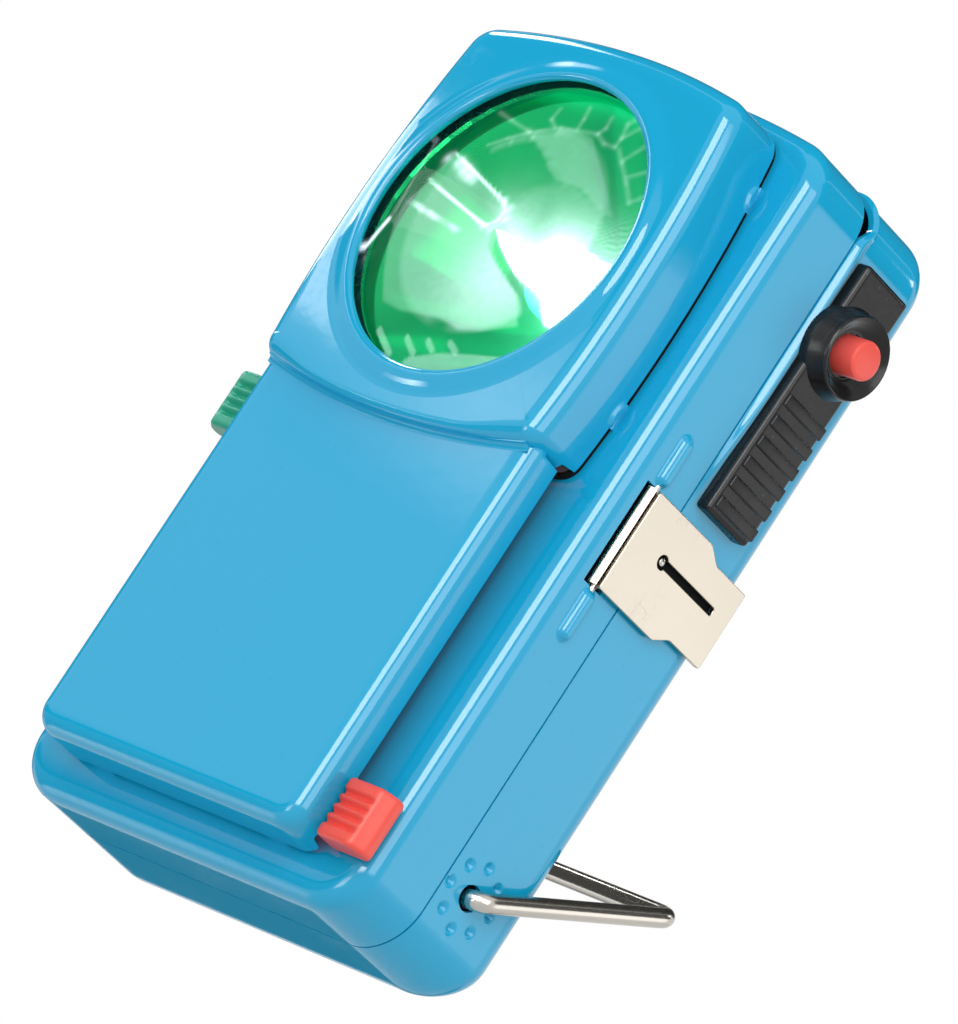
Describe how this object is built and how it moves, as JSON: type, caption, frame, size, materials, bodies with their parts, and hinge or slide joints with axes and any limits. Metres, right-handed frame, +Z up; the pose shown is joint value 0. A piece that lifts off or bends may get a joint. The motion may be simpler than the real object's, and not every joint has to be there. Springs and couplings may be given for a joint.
{
  "type": "morse signal lamp",
  "caption": "Pressed sheet-metal hand signal lamp with a domed lens head, sliding colour filters, a morse key on a thumb slider, a side clasp and a folding wire stand.",
  "frame": {"origin": "middle of the flat underside, halfway across the width and halfway through the case's depth", "axes": "+Z up along the case's height, -Y the way the lens faces, +X the side with the clasp and the thumb slider"},
  "size_m": [0.0809, 0.0639, 0.1258],
  "materials": {
    "blue_enamel": "glossy stove enamel",
    "nickel": "nickel plate, satin",
    "steel": "bright steel",
    "mirror": "polished reflector",
    "brass": "bare brass",
    "clear_glass": "clear",
    "green_filter": "clear green",
    "red_filter": "clear red",
    "green_plastic": "satin",
    "red_plastic": "glossy",
    "black_plastic": "satin moulded",
    "fibre": "pressed fibre board",
    "battery_wrap": "bare wrapper"
  },
  "bodies": {
    "front_case": {"front_shell": "blue_enamel", "front_cover": "blue_enamel", "lens": "clear_glass", "lens_retainer": "nickel", "reflector": "mirror", "bulb_socket": "brass", "bulb_cap": "brass", "bulb_glass": "clear_glass", "lid_hinge_pin": "steel", "clasp_hinge_pin": "steel", "battery": "battery_wrap", "battery_tab_short": "brass", "battery_tab_long": "brass"},
    "rear_lid": {"rear_shell": "blue_enamel", "catch_stud": "steel", "contact_board": "fibre", "contact_spring": "brass", "bulb_contact_strip": "brass"},
    "clasp": {"clasp_plate": "nickel"},
    "red_slide": {"red_filter": "red_filter", "red_knob": "red_plastic"},
    "green_slide": {"green_filter": "green_filter", "green_knob": "green_plastic"},
    "switch": {"switch_slider": "black_plastic", "switch_keeper": "steel"},
    "morse_key": {"morse_button": "red_plastic"},
    "bail_stand": {"bail": "steel"}
  },
  "joints": [
    {"name": "lid_hinge", "type": "hinge", "parent": "front_case", "child": "rear_lid", "pos_m": [-0.0369, -0.0031, 0.06], "axis": [0, 0, 1], "range_deg": [0, 120]},
    {"name": "clasp_hinge", "type": "hinge", "parent": "front_case", "child": "clasp", "pos_m": [0.03475, -0.009, 0.0636], "axis": [0, 0, -1], "range_deg": [0, 120]},
    {"name": "red_filter_slide", "type": "slide", "parent": "front_case", "child": "red_slide", "axis": [0, 0, 1], "range_m": [0, 0.0478]},
    {"name": "green_filter_slide", "type": "slide", "parent": "front_case", "child": "green_slide", "axis": [0, 0, 1], "range_m": [-0.0478, 0]},
    {"name": "switch_slide", "type": "slide", "parent": "rear_lid", "child": "switch", "axis": [0, 0, 1], "range_m": [0, 0.004]},
    {"name": "morse_key_press", "type": "slide", "parent": "switch", "child": "morse_key", "axis": [-1, 0, 0], "range_m": [0, 0.0012], "stiffness_N_per_m": 500, "springref_m": -0.0005},
    {"name": "bail_pivot", "type": "hinge", "parent": "rear_lid", "child": "bail_stand", "pos_m": [0, 0.0029, 0.0135], "axis": [1, 0, 0], "range_deg": [-90, 38]}
  ]
}
